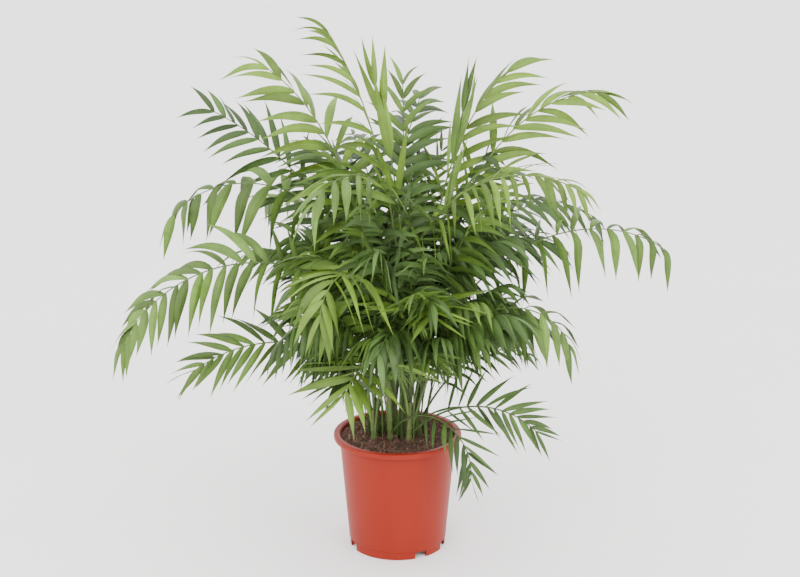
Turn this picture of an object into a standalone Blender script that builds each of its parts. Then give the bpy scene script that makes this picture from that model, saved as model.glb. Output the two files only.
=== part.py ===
"""A parlour palm in its nursery pot, in metres, +Z up.

The pot stands on z = 0 with its axis on the Z axis. Nine slender canes rise from the soil, and every
frond is one blade: a petiole and rib that arch in an upright plane, cut to the rib between its leaflets.
"""

import math
import random
from collections import namedtuple

import bmesh
import bpy
from mathutils import Vector
from mathutils.bvhtree import BVHTree

UP = Vector((0, 0, 1))
GAP = 0.0003  # clearance between pieces that touch
SHARP_ANGLE = 35  # degrees; flatter edges of round pieces are shaded smooth

# Pot
POT_HEIGHT = 0.222
RIM_RADIUS = 0.120
RIM_SKIRT = 0.010
BODY_TOP_RADIUS = 0.1085
FOOT_RADIUS = 0.0915
FOOT_HEIGHT = 0.0135
WALL = 0.0022
FLOOR_DISC_RADIUS = 0.060
POT_SIDES = 48
NOTCH_WIDTH = 0.024
NOTCH_DEPTH = 0.010
NOTCH_ANGLES = [-61, -19, 23, 119, 161, 203]

# Soil
SOIL_TOP = 0.214
SOIL_FLAT_RADIUS = 0.082
SOIL_EDGE_DROP = 0.003
SOIL_SIDES = 36

# Canes
CANE_COUNT = 9
CANE_RING_STEP = 0.018  # the distance from the axis grows with the root of the cane's number
CANE_FIRST_ANGLE = -167.5
GOLDEN_ANGLE = 137.5
CANE_HEIGHTS = [0.22, 0.20, 0.185, 0.16, 0.14, 0.115, 0.08, 0.10, 0.06]
CANE_LEAN = 5  # degrees, outwards
CANE_FOOT_RADIUS = 0.0068
CANE_RADIUS = 0.0050
CANE_TOP_RADIUS = 0.0042
CANE_FLARE_HEIGHT = 0.014
CANE_SIDES = 7

# Fronds
PETIOLE_RADIUS = 0.0024
RIB_TIP_RADIUS = 0.0009
PETIOLE_STEPS = 4
SPINE_STEPS = 96  # straight steps that add up to a rib's curve
SEAT_STEP = 0.0001
LEAFLET_ROOT = 0.0042  # half of the root's width along the rib
LEAFLET_THICKNESS = 0.0014
LEAFLET_WIDEST = 0.40
BLADE_TILT = 24  # degrees by which neighbouring leaflets overlap like shingles
LOWEST_LEAF = 0.03
LOWEST_FOOT = 0.012  # of a frond, above the soil

Frond = namedtuple(
    "Frond", "name cane height azimuth rise arch ease length bare pairs leaf width spread hang lift roll tone"
)

# A frond leaves its cane at a height above the soil. Azimuth 0 points right and 90 to the back, in
# degrees. rise is the rib's elevation at its foot, and arch how far it has turned down at its tip, late
# in its length where ease is high. bare is the share of the length below the leaflets. leaf is the
# longest leaflet, and width its breadth as a share of that. spread is the angle from rib to leaflet at
# the lowest pair, hang how far leaflets fall towards the vertical, lift their slope at the rib, and
# roll how far the blade is turned about its rib. tone is the green's age, from fresh to deep.
SHOWN_FRONDS = [
    Frond("left_sweep", 1, 0.06, -168, 86, 151, 1.15, 0.74, 0.40, 13, 0.115, 0.25, 72, 0.60, 8, 0, "mid"),
    Frond("left_middle", 2, 0.12, 178, 86, 139, 1.65, 0.65, 0.42, 10, 0.125, 0.27, 72, 0.65, 8, 0, "mid"),
    Frond("left_high_back", 0, 0.16, 150, 78, 61, 1.0, 0.60, 0.42, 10, 0.105, 0.17, 62, 0.10, 28, 0, "deep"),
    Frond("left_high", 0, 0.20, 175, 79, 45, 2.6, 0.55, 0.36, 9, 0.125, 0.24, 66, 0.45, 10, -20, "fresh"),
    Frond("top_left", 1, 0.16, 170, 84, 27, 2.4, 0.62, 0.48, 9, 0.105, 0.16, 50, 0.40, 12, 0, "fresh"),
    Frond("top_spear", 1, 0.12, 165, 88, 14, 2.0, 0.55, 0.60, 7, 0.120, 0.12, 16, 0.03, 25, 0, "fresh"),
    Frond("top_back", 7, 0.06, 92, 88, 30, 2.5, 0.60, 0.50, 8, 0.095, 0.16, 64, 0.25, 10, 0, "mid"),
    Frond("top_right_spear", 6, 0.06, 30, 80, 1, 1.0, 0.57, 0.58, 6, 0.130, 0.12, 12, 0.02, 25, 0, "mid"),
    Frond("top_right", 4, 0.12, 20, 87, 49, 2.6, 0.60, 0.45, 8, 0.115, 0.22, 60, 0.35, 12, 0, "fresh"),
    Frond("right_high", 4, 0.09, 10, 82, 85, 2.6, 0.70, 0.44, 11, 0.115, 0.24, 66, 0.45, 8, 0, "fresh"),
    Frond("right_front_arch", 0, 0.12, -35, 90, 111, 1.5, 0.66, 0.36, 12, 0.12, 0.27, 68, 0.6, 6, 0, "fresh"),
    Frond("right_arch", 7, 0.06, 0, 67, 105, 1.8, 0.65, 0.42, 12, 0.120, 0.22, 74, 0.75, 5, 0, "mid"),
    Frond("right_middle", 6, 0.04, -10, 75, 151, 2.1, 0.45, 0.38, 8, 0.110, 0.25, 72, 0.65, 5, 0, "mid"),
    Frond("right_low_back", 4, 0.02, 15, 61, 90, 1.75, 0.27, 0.35, 9, 0.062, 0.17, 70, 0.45, 8, 10, "deep"),
    Frond("right_low", 6, 0.02, -5, 49, 96, 1.05, 0.26, 0.35, 9, 0.072, 0.17, 72, 0.05, 5, 55, "deep"),
    Frond("over_rim", 3, 0.02, -38, 55, 154, 1.15, 0.26, 0.38, 9, 0.070, 0.17, 62, 0.05, 5, 15, "deep"),
    Frond("left_low", 2, 0.06, -172, 60, 97, 1.0, 0.42, 0.36, 11, 0.105, 0.24, 62, 0.15, 6, -48, "mid"),
    Frond("right_back", 0, 0.18, 20, 88, 123, 1.0, 0.56, 0.42, 11, 0.105, 0.20, 70, 0.50, 6, 0, "deep"),
    Frond("front_fan", 1, 0.06, -76, 88, 120, 2.5, 0.33, 0.55, 6, 0.125, 0.20, 66, 0.20, 4, 0, "fresh"),
    Frond("front_left_low", 6, 0.06, -125, 80, 137, 1.5, 0.28, 0.45, 6, 0.135, 0.24, 68, 0.30, 4, 0, "fresh"),
    Frond("front_left_arch", 3, 0.12, -118, 79, 160, 2.5, 0.42, 0.42, 7, 0.13, 0.25, 68, 0.6, 4, 0, "fresh"),
    Frond("centre_left", 4, 0.12, -130, 90, 137, 2.4, 0.60, 0.45, 9, 0.130, 0.24, 70, 0.40, 6, 0, "mid"),
]

# The rest of the crown follows a seeded rule, cane by cane.
FILL_SEED = 11
FILL_COUNT = 27
FILL_FIRST_AZIMUTH = 60
FILL_LEVEL_STEP = 0.57  # low and high fronds alternate
FILL_DEEP_SHARE = 0.6

Cane = namedtuple("Cane", "foot lean height")
Spine = namedtuple("Spine", "points tangents sides normals")
Leaflet = namedtuple("Leaflet", "root heading elevation fall flex side length width")


def direction(azimuth, elevation):
    a, e = math.radians(azimuth), math.radians(elevation)
    return Vector((math.cos(e) * math.cos(a), math.cos(e) * math.sin(a), math.sin(e)))


def material(name, colour, roughness):
    found = bpy.data.materials.new(name)
    found.use_nodes = True
    shader = found.node_tree.nodes["Principled BSDF"]
    shader.inputs["Base Color"].default_value = (*colour, 1)
    shader.inputs["Roughness"].default_value = roughness
    shader.inputs["Metallic"].default_value = 0
    return found


def add_object(name, mesh_builder, finish=None, is_round=False):
    mesh = bpy.data.meshes.new(name)
    bmesh.ops.recalc_face_normals(mesh_builder, faces=mesh_builder.faces)
    mesh_builder.to_mesh(mesh)
    mesh_builder.free()
    obj = bpy.data.objects.new(name, mesh)
    bpy.context.scene.collection.objects.link(obj)
    if finish:
        mesh.materials.append(finish)
    if is_round:
        mesh.shade_smooth()
        mesh.set_sharp_from_angle(angle=math.radians(SHARP_ANGLE))
    return obj


def turned(profile, sides):
    """A closed body turned about Z from (radius, height) points whose ends lie on the axis."""
    builder = bmesh.new()
    rings = []
    for radius, height in profile:
        if radius == 0:
            rings.append([builder.verts.new((0, 0, height))])
            continue
        spokes = [direction(360 * i / sides, 0) * radius for i in range(sides)]
        rings.append([builder.verts.new(spoke + UP * height) for spoke in spokes])
    for low, high in zip(rings, rings[1:]):
        for i in range(sides):
            j = (i + 1) % sides
            corners = [low[i % len(low)], low[j % len(low)], high[j % len(high)], high[i % len(high)]]
            builder.faces.new(list(dict.fromkeys(corners)))
    return builder


def pot_profile():
    """Runs from the centre of the underside round the foot, wall and rim to the centre of the inside."""
    rim_under = POT_HEIGHT - RIM_SKIRT
    raised = FOOT_HEIGHT
    return [
        (0, 0),
        (FLOOR_DISC_RADIUS, 0),
        (FLOOR_DISC_RADIUS + 0.004, raised),
        (FOOT_RADIUS - WALL - 0.0012, raised),
        (FOOT_RADIUS - WALL - 0.0015, 0),
        (FOOT_RADIUS - 0.0015, 0),
        (FOOT_RADIUS - 0.0012, raised),
        (FOOT_RADIUS, raised + 0.001),
        (BODY_TOP_RADIUS, rim_under - 0.001),
        (BODY_TOP_RADIUS + 0.0015, rim_under + 0.0055),
        (RIM_RADIUS - WALL - 0.001, rim_under + 0.0065),
        (RIM_RADIUS - WALL - 0.001, rim_under),
        (RIM_RADIUS - 0.001, rim_under),
        (RIM_RADIUS, rim_under + 0.003),
        (RIM_RADIUS - 0.0005, POT_HEIGHT - 0.0015),
        (RIM_RADIUS - 0.002, POT_HEIGHT),
        (BODY_TOP_RADIUS - WALL + 0.003, POT_HEIGHT),
        (BODY_TOP_RADIUS - WALL + 0.001, POT_HEIGHT - 0.003),
        (FOOT_RADIUS - WALL, raised + WALL),
        (FLOOR_DISC_RADIUS + 0.004 - 0.0015, raised + WALL),
        (FLOOR_DISC_RADIUS - 0.0015, WALL),
        (0, WALL),
    ]


def make_pot(finish):
    pot = add_object("pot", turned(pot_profile(), POT_SIDES), finish, is_round=True)
    size = (NOTCH_DEPTH, NOTCH_WIDTH, 2 * (FOOT_HEIGHT - 0.001))
    for i, angle in enumerate(NOTCH_ANGLES):
        builder = bmesh.new()
        bmesh.ops.create_cube(builder, size=1)
        bmesh.ops.scale(builder, vec=size, verts=builder.verts)
        cutter = add_object(f"notch_{i}", builder)
        cutter.location = direction(angle, 0) * (FOOT_RADIUS - 0.0025)
        cutter.rotation_euler.z = math.radians(angle)
        cutter.hide_render = True
        cutter.display_type = "WIRE"
        cut = pot.modifiers.new(f"notch_{i}", "BOOLEAN")
        cut.operation = "DIFFERENCE"
        cut.object = cutter
    return pot


def inner_radius(height):
    """The pot's inside radius at a height above its raised floor."""
    low, high = FOOT_HEIGHT + WALL, POT_HEIGHT - 0.003
    share = (height - low) / (high - low)
    return FOOT_RADIUS - WALL + share * (BODY_TOP_RADIUS + 0.001 - FOOT_RADIUS)


def make_soil(finish):
    apothem = math.cos(math.pi / SOIL_SIDES) * math.cos(math.pi / POT_SIDES)
    low = FOOT_HEIGHT + WALL + GAP
    edge = SOIL_TOP - SOIL_EDGE_DROP
    profile = [
        (0, WALL + GAP),
        ((FLOOR_DISC_RADIUS - 0.0022) * apothem, WALL + GAP),
        ((FLOOR_DISC_RADIUS + 0.0018) * apothem, low),
        ((inner_radius(low) - GAP) * apothem, low),
        ((inner_radius(edge) - GAP) * apothem, edge),
        (SOIL_FLAT_RADIUS, SOIL_TOP),
        (0, SOIL_TOP),
    ]
    return add_object("soil", turned(profile, SOIL_SIDES), finish, is_round=True)


def cane_layout():
    """Where each cane stands: spaced by the golden angle, taller towards the middle."""
    found = []
    for i in range(CANE_COUNT):
        angle = CANE_FIRST_ANGLE + GOLDEN_ANGLE * i
        foot = direction(angle, 0) * CANE_RING_STEP * math.sqrt(i) + UP * (SOIL_TOP + GAP)
        lean = direction(angle, 90 - CANE_LEAN)
        found.append(Cane(foot, lean, CANE_HEIGHTS[i]))
    return found


def cane_radius(height, top):
    if height < CANE_FLARE_HEIGHT:
        share = height / CANE_FLARE_HEIGHT
        return CANE_FOOT_RADIUS + (CANE_RADIUS - CANE_FOOT_RADIUS) * share
    share = (height - CANE_FLARE_HEIGHT) / (top - CANE_FLARE_HEIGHT)
    return CANE_RADIUS + (CANE_TOP_RADIUS - CANE_RADIUS) * share


def cane_axis(cane, height):
    """A point on the cane's axis, measured by height above its flat foot."""
    return cane.foot + cane.lean * (height / cane.lean.z)


def cane_shape(cane):
    """Corner points and faces of a cane, from its flat foot to its rounded tip."""
    heights = [0, CANE_FLARE_HEIGHT, 0.5 * cane.height, cane.height]
    points, faces = [], []
    for height in heights:
        radius = cane_radius(height, cane.height)
        centre = cane_axis(cane, height)
        for i in range(CANE_SIDES):
            angle = 2 * math.pi * i / CANE_SIDES
            points.append(centre + Vector((radius * math.cos(angle), radius * math.sin(angle), 0)))
    tip = len(points)
    points.append(cane_axis(cane, cane.height + CANE_TOP_RADIUS))
    for ring in range(len(heights) - 1):
        for i in range(CANE_SIDES):
            j = (i + 1) % CANE_SIDES
            a, b = ring * CANE_SIDES, (ring + 1) * CANE_SIDES
            faces.append((a + i, a + j, b + j, b + i))
    last = tip - CANE_SIDES
    faces += [(last + i, last + (i + 1) % CANE_SIDES, tip) for i in range(CANE_SIDES)]
    faces.append(tuple(range(CANE_SIDES)))
    return points, faces


def object_from(name, points, faces, finish, is_round=False):
    builder = bmesh.new()
    corners = [builder.verts.new(p) for p in points]
    for face in faces:
        builder.faces.new([corners[i] for i in face])
    return add_object(name, builder, finish, is_round)


def spine_of(frond, azimuth, stations):
    """The rib's line from its foot, at the given shares of its length, with tangents and sides."""
    steps = SPINE_STEPS
    line = [Vector()]
    for i in range(steps):
        elevation = frond.rise - frond.arch * ((i + 0.5) / steps) ** frond.ease
        line.append(line[-1] + direction(azimuth, elevation) * (frond.length / steps))
    side = direction(azimuth - 90, 0)
    points, tangents, normals = [], [], []
    for share in stations:
        place = min(share * steps, steps - 1e-6)
        i = int(place)
        points.append(line[i].lerp(line[i + 1], place - i))
        elevation = frond.rise - frond.arch * share**frond.ease
        tangents.append(direction(azimuth, elevation))
        normals.append(side.cross(tangents[-1]))
    return Spine(points, tangents, [side] * len(points), normals)


def blade_stations(frond):
    """Shares of the rib's length at which its cross-section stands, and the index where each pair starts."""
    root = LEAFLET_ROOT / frond.length
    stations = [frond.bare * i / PETIOLE_STEPS for i in range(PETIOLE_STEPS)]
    starts = []
    for i in range(frond.pairs):
        along = i / (frond.pairs - 1)
        centre = frond.bare + (0.985 - frond.bare) * along**0.88
        starts.append(len(stations))
        stations += [centre - root, centre + root]
    stations.append(1.0)
    return stations, starts


def rib_radius(share):
    return PETIOLE_RADIUS + (RIB_TIP_RADIUS - PETIOLE_RADIUS) * share


def spine_corners(spine, stations, extra=0.0):
    """Three corners at each station: upper left, upper right and lower middle."""
    corners = []
    for point, side, normal, share in zip(spine.points, spine.sides, spine.normals, stations):
        radius = rib_radius(share) + extra
        corners.append([
            point - side * radius + normal * radius * 0.55,
            point + side * radius + normal * radius * 0.55,
            point - normal * radius,
        ])
    return corners


def halves(a, b, c, d):
    """The two triangles of a four-cornered face, always cut along the same diagonal."""
    return [(a, b, c), (a, c, d)]


def tube_faces(count):
    faces = []
    for k in range(count - 1):
        for i in range(3):
            j = (i + 1) % 3
            faces += halves(3 * k + i, 3 * k + j, 3 * k + 3 + j, 3 * k + 3 + i)
    return faces


def leaflet_of(frond, spine, station, hand, along, chance):
    """One leaflet's design: hand is 1 on the right of the rib and -1 on the left."""
    tangent = spine.tangents[station].lerp(spine.tangents[station + 1], 0.5).normalized()
    side, normal = spine.sides[station], spine.normals[station]
    root = spine.points[station].lerp(spine.points[station + 1], 0.5) + side * hand * PETIOLE_RADIUS * 0.4
    side = turned_about(side, tangent, -math.radians(frond.roll))
    normal = turned_about(normal, tangent, -math.radians(frond.roll))
    spread = math.radians(frond.spread * (1 - 0.62 * along**1.3) + chance.uniform(-5, 5))
    lift = math.radians(frond.lift + chance.uniform(-5, 5))
    out = side * hand * math.cos(lift) + normal * math.sin(lift)
    start = (tangent * math.cos(spread) + out * math.sin(spread)).normalized()
    elevation = math.asin(max(-0.999, min(0.999, start.z)))
    heading = Vector((start.x, start.y, 0)).normalized()
    hang = frond.hang * chance.uniform(0.85, 1.15)
    fall = max(0.02, hang * (elevation + math.pi / 2))
    across = (tangent - start * tangent.dot(start)).normalized()
    tilt = math.radians(BLADE_TILT) * hand
    blade_normal = start.cross(across)
    across = across * math.cos(tilt) + blade_normal * math.sin(tilt)
    size = 0.74 + 0.26 * math.sin(math.pi * min(1, 0.15 + along)) - 0.20 * along**3
    length = frond.leaf * size * chance.uniform(0.94, 1.06)
    breadth = 0.82 + 0.18 * math.sin(math.pi * along)
    width = frond.leaf * frond.width * breadth * chance.uniform(0.9, 1.1)
    flex = 1.0 - 0.45 * min(1, frond.hang)
    return Leaflet(root, heading, elevation, fall, flex, across, length, width)


def leaflet_line(leaf, share):
    """A point of the leaflet's midrib, its elevation there, and the blade's cross direction.

    The midrib turns down at an even rate over the first part of its length and runs straight after it.
    """
    bent = min(share, leaf.flex)
    rate = leaf.fall / leaf.flex
    elevation = leaf.elevation - rate * bent
    rest = share - bent
    out = (math.sin(leaf.elevation) - math.sin(elevation)) / rate + rest * math.cos(elevation)
    rise = (math.cos(elevation) - math.cos(leaf.elevation)) / rate + rest * math.sin(elevation)
    point = leaf.root + (leaf.heading * out + UP * rise) * leaf.length
    pitch = leaf.heading.cross(UP)
    across = turned_about(leaf.side, pitch, elevation - leaf.elevation)
    forward = leaf.heading * math.cos(elevation) + UP * math.sin(elevation)
    return point, forward, across


def turned_about(vector, axis, angle):
    return (
        vector * math.cos(angle)
        + axis.cross(vector) * math.sin(angle)
        + axis * axis.dot(vector) * (1 - math.cos(angle))
    )


def leaflet_corners(leaf, extra=0.0):
    """Edge towards the frond's foot, edge towards its tip, keel, and the leaflet's point."""
    middle, forward, across = leaflet_line(leaf, LEAFLET_WIDEST)
    below = across.cross(forward)
    if below.z > 0:
        below = -below
    half = leaf.width / 2 + extra
    point = leaflet_line(leaf, 1.0)[0]
    return [
        middle - across * half - below * extra,
        middle + across * half - below * extra,
        middle + below * (LEAFLET_THICKNESS + extra),
        point + forward * extra,
    ]


def trials(leaf):
    """The leaflet as designed, then ways to bend it clear of what is there already."""
    yield leaf
    for turn in (0.14, -0.14, 0.28, -0.28, 0.45, -0.45):
        yield leaf._replace(fall=max(0.02, leaf.fall + turn))
    for shrink in (0.8, 0.65):
        for turn in (0, 0.2, -0.2, 0.4, -0.4):
            slim = leaf._replace(width=leaf.width * shrink, length=leaf.length * (0.6 + 0.4 * shrink))
            yield slim._replace(fall=max(0.02, leaf.fall + turn))


def leaflet_faces(root, corners):
    """Ten faces from a root's four corner numbers, upper pair first, and the four of the leaflet."""
    upper, upper_on, lower_on, lower = root
    foot_edge, tip_edge, keel, tip = corners
    return halves(upper, upper_on, tip_edge, foot_edge) + [
        (upper, foot_edge, lower),
        (lower, foot_edge, keel),
        (lower, keel, lower_on),
        (lower_on, keel, tip_edge),
        (lower_on, tip_edge, upper_on),
        (foot_edge, tip_edge, tip),
        (foot_edge, keel, tip),
        (keel, tip_edge, tip),
    ]


def whole_leaflet(leaf, root_points, extra):
    """The leaflet with its root, grown by extra, for the test against other fronds."""
    return root_points + leaflet_corners(leaf, extra), leaflet_faces(range(4), range(4, 8))


def outer_leaflet(leaf, extra):
    """The leaflet beyond its root, grown by extra, for the test against its own frond."""
    start = leaflet_line(leaf, 0.12)[0]
    corners = [start] + leaflet_corners(leaf, extra)
    return corners, [(0, 1, 2), (0, 1, 3), (0, 2, 3), (4, 1, 2), (4, 1, 3), (4, 2, 3)]


def overlaps(shape, solids):
    probe = BVHTree.FromPolygons(*shape)
    return any(probe.overlap(solid) for solid in solids)


def is_clear(leaf, root_points, own, others):
    if min(point.z for point in leaflet_corners(leaf)) < LOWEST_LEAF:
        return False
    for extra in (0, GAP * 1.5):
        if overlaps(outer_leaflet(leaf, extra), own):
            return False
        if overlaps(whole_leaflet(leaf, root_points, extra), others):
            return False
    return True


def fill_fronds(canes):
    """Fronds that fill the crown: the canes send them round by the golden angle, longest to the back."""
    chance = random.Random(FILL_SEED)
    found = []
    for i in range(FILL_COUNT):
        cane = i % CANE_COUNT
        azimuth = FILL_FIRST_AZIMUTH + GOLDEN_ANGLE * i + chance.uniform(-8, 8)
        level = (FILL_LEVEL_STEP * i) % 1
        height = canes[cane].height * (0.30 + 0.62 * level)
        rise = 78 + 10 * level
        arch = 132 - 80 * level + chance.uniform(-8, 8)
        towards_back = max(0, math.sin(math.radians(azimuth)))
        length = 0.38 + 0.23 * towards_back**0.5 - 0.06 * level + chance.uniform(-0.02, 0.02)
        leaf = chance.uniform(0.10, 0.12)
        width = chance.uniform(0.18, 0.24)
        hang = chance.uniform(0.3, 0.6)
        tone = "deep" if chance.random() < FILL_DEEP_SHARE else "mid"
        name = f"fill_{i + 1:02d}"
        shape = (height, azimuth, rise, arch, 1.4, length, 0.38, 9, leaf, width, 68, hang, 8, 0)
        found.append(Frond(name, cane, *shape, tone))
    return found


def seated(grown, stations, cane, height, way, cane_tree):
    """How far to move a rib out from its cane's axis along a way, so that its foot lies just clear."""
    distance = 0.8 * cane_radius(height, cane.height)
    while True:
        move = cane_axis(cane, height) + way * distance
        probe = [corner + move for corner in grown]
        if not overlaps((probe, tube_faces(len(stations))), [cane_tree]):
            return move, probe
        distance += SEAT_STEP


def place_spines(fronds, canes, cane_trees, solids):
    """Each frond's rib, seated on its cane and moved a little until it is clear of the ribs before it."""
    placed = []
    for frond in fronds:
        cane = canes[frond.cane]
        stations, starts = blade_stations(frond)
        for lift, turn, round_cane in rib_trials():
            azimuth = frond.azimuth + turn
            height = min(max(frond.height + lift, LOWEST_FOOT), cane.height - CANE_TOP_RADIUS)
            loose = spine_of(frond, azimuth, stations)
            grown = [c for ring in spine_corners(loose, stations, GAP * 0.95) for c in ring]
            way = direction(azimuth + round_cane, 0)
            move, probe = seated(grown, stations, cane, height, way, cane_trees[frond.cane])
            if not overlaps((probe, tube_faces(len(stations))), solids):
                break
        else:
            print("no clear way for", frond.name)
            continue
        spine = loose._replace(points=[point + move for point in loose.points])
        corners = [c for ring in spine_corners(spine, stations) for c in ring]
        rib = BVHTree.FromPolygons(corners, tube_faces(len(stations)))
        solids.append(rib)
        placed.append((frond, spine, stations, starts, rib))
    return placed


def rib_trials():
    """Shifts of a rib: of its height, its azimuth and its foot round the cane, smallest first."""
    for lift in (0, 0.012, -0.012, 0.024, -0.024, 0.036, -0.036):
        for turn in (0, 3, -3, 6, -6, 9, -9, 12, -12):
            for round_cane in (0, 20, -20, 40, -40, 60, -60, 80, -80, 100, -100):
                yield lift, turn, round_cane


def frond_shape(frond, spine, stations, starts, rib, solids, seed):
    """Corner points and faces of a whole frond: a three-sided rib, and leaflets grown from its side faces."""
    chance = random.Random(seed)
    own, own_whole = [rib], []
    others = [solid for solid in solids if solid is not rib]
    points = [c for ring in spine_corners(spine, stations) for c in ring]
    faces = [(0, 1, 2), tuple(3 * len(stations) - 3 + i for i in (2, 1, 0))]
    for k in range(len(stations) - 1):
        upper_left, upper_right, lower = 3 * k, 3 * k + 1, 3 * k + 2
        faces += halves(upper_left, upper_right, upper_right + 3, upper_left + 3)
        for hand, upper in ((1, upper_right), (-1, upper_left)):
            root = (upper, upper + 3, lower + 3, lower)
            if k not in starts:
                faces += halves(*root)
                continue
            along = starts.index(k) / (frond.pairs - 1)
            leaf = leaflet_of(frond, spine, k, hand, along, chance)
            root_points = [points[i] for i in root]
            clear = (trial for trial in trials(leaf) if is_clear(trial, root_points, own, others))
            leaf = next(clear, None)
            if leaf is None:
                faces += halves(*root)
                continue
            own.append(BVHTree.FromPolygons(*outer_leaflet(leaf, 0)))
            own_whole.append(BVHTree.FromPolygons(*whole_leaflet(leaf, root_points, 0)))
            faces += leaflet_faces(root, range(len(points), len(points) + 4))
            points += leaflet_corners(leaf)
    solids += own_whole
    return points, faces


def tree_of(obj):
    """The search tree of an object's faces as the viewport shows it."""
    return BVHTree.FromObject(obj, bpy.context.evaluated_depsgraph_get())


def main():
    for obj in list(bpy.data.objects):
        bpy.data.objects.remove(obj)
    clay = material("pot_clay_red", (0.50, 0.10, 0.063), 0.42)
    earth = material("soil_dark", (0.07, 0.036, 0.021), 0.95)
    cane_green = material("cane_green", (0.13, 0.22, 0.05), 0.55)
    greens = {
        "fresh": material("leaf_fresh", (0.20, 0.31, 0.06), 0.40),
        "mid": material("leaf_mid", (0.12, 0.20, 0.045), 0.42),
        "deep": material("leaf_deep", (0.055, 0.105, 0.025), 0.45),
    }

    pot = make_pot(clay)
    soil = make_soil(earth)
    bpy.context.view_layer.update()
    solids = [tree_of(pot), tree_of(soil)]

    canes = cane_layout()
    cane_trees = []
    for i, cane in enumerate(canes):
        points, faces = cane_shape(cane)
        object_from(f"cane_{i + 1}", points, faces, cane_green, is_round=True)
        cane_trees.append(BVHTree.FromPolygons(points, faces))
    solids += cane_trees

    placed = place_spines(SHOWN_FRONDS + fill_fronds(canes), canes, cane_trees, solids)
    for number, design in enumerate(placed):
        points, faces = frond_shape(*design, solids, number)
        object_from("frond_" + design[0].name, points, faces, greens[design[0].tone])


main()
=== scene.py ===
import math
import random
from collections import namedtuple

import bmesh
import bpy
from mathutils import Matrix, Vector, noise
from mathutils.bvhtree import BVHTree


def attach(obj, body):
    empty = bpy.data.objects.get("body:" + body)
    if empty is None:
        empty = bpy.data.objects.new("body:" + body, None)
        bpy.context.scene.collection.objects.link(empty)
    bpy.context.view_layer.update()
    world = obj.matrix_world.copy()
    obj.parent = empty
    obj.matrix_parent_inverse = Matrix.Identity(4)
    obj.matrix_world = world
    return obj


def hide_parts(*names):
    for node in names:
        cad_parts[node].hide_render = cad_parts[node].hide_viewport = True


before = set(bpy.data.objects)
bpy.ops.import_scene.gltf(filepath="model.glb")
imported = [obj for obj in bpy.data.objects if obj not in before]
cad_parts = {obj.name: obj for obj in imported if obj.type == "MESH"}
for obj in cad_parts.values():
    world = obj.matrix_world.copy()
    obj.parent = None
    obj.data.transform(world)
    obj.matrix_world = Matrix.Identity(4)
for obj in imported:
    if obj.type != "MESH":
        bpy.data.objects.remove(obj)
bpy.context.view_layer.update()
up = Vector((0, 0, 1))
print("frame loaded:", len(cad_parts), "nodes")


# node helpers: a value that is a socket gets linked, any other value is set on the socket itself
def link(tree, value, socket):
    if isinstance(value, bpy.types.NodeSocket):
        tree.links.new(value, socket)
    else:
        socket.default_value = value


def addNode(tree, kind, inputs=None, **settings):
    node = tree.nodes.new(kind)
    for name, value in settings.items():
        setattr(node, name, value)
    for name, value in (inputs or {}).items():
        link(tree, value, node.inputs[name])
    return node


def calc(tree, operation, *values):
    node = addNode(tree, "ShaderNodeMath", operation=operation)
    for socket, value in zip(node.inputs, values):
        link(tree, value, socket)
    return node.outputs[0]


def vectorCalc(tree, operation, first, second):
    node = addNode(tree, "ShaderNodeVectorMath", operation=operation)
    link(tree, first, node.inputs[0])
    link(tree, second, node.inputs["Scale" if operation == "SCALE" else 1])
    return node.outputs[0]


def mixColour(tree, share, first, second, blend="MIX"):
    node = addNode(tree, "ShaderNodeMix", data_type="RGBA", blend_type=blend)
    for index, value in ((0, share), (6, first), (7, second)):
        link(tree, value, node.inputs[index])
    return node.outputs[2]


def ranged(tree, value, low, high, newLow, newHigh):
    names = {"Value": value, "From Min": low, "From Max": high, "To Min": newLow, "To Max": newHigh}
    return addNode(tree, "ShaderNodeMapRange", names).outputs[0]


def cloud(tree, place, scale, detail=3.0, roughness=0.5):
    values = {"Vector": place, "Scale": scale, "Detail": detail, "Roughness": roughness}
    return addNode(tree, "ShaderNodeTexNoise", values).outputs["Fac"]


def newTree(name, kind, inputs, outputs):
    tree = bpy.data.node_groups.new(name, kind)
    for label, socketKind, value in inputs:
        socket = tree.interface.new_socket(label, in_out="INPUT", socket_type="NodeSocket" + socketKind)
        if value is not None:
            socket.default_value = value
    for label, socketKind in outputs:
        tree.interface.new_socket(label, in_out="OUTPUT", socket_type="NodeSocket" + socketKind)
    return tree, tree.nodes.new("NodeGroupInput").outputs, tree.nodes.new("NodeGroupOutput").inputs


def runTree(name, sourceMesh, tree, values):
    # grows a piece from a mesh with a Geometry Nodes tree and keeps the result as a plain mesh
    holder = bpy.data.objects.new(name + "Source", sourceMesh)
    bpy.context.scene.collection.objects.link(holder)
    modifier = holder.modifiers.new("grow", "NODES")
    modifier.node_group = tree
    identifiers = {s.name: s.identifier for s in tree.interface.items_tree if s.in_out == "INPUT"}
    for label, value in values.items():
        modifier[identifiers[label]] = value
    depsgraph = bpy.context.evaluated_depsgraph_get()
    evaluated = holder.evaluated_get(depsgraph)
    mesh = bpy.data.meshes.new_from_object(evaluated, preserve_all_data_layers=True, depsgraph=depsgraph)
    holder.modifiers.remove(modifier)
    bpy.data.objects.remove(holder)
    mesh.name = name
    for extra in [a.name for a in mesh.attributes if a.name in workAttributes]:
        mesh.attributes.remove(mesh.attributes[extra])
    return placeMesh(name, mesh)


def placeMesh(name, mesh):
    piece = bpy.data.objects.new(name, mesh)
    bpy.context.scene.collection.objects.link(piece)
    return piece


def pointMesh(name, rows, edges=()):
    # a mesh of loose points, or of chains, that carries one value of each kind at each point
    mesh = bpy.data.meshes.new(name)
    mesh.from_pydata([row["root"] for row in rows], edges, [])
    for key, value in rows[0].items():
        kind = "FLOAT_VECTOR" if isinstance(value, Vector) else "FLOAT"
        layer = mesh.attributes.new(key, kind, "POINT")
        if kind == "FLOAT":
            layer.data.foreach_set("value", [row[key] for row in rows])
        else:
            layer.data.foreach_set("vector", [part for row in rows for part in row[key]])
    return mesh


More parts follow.
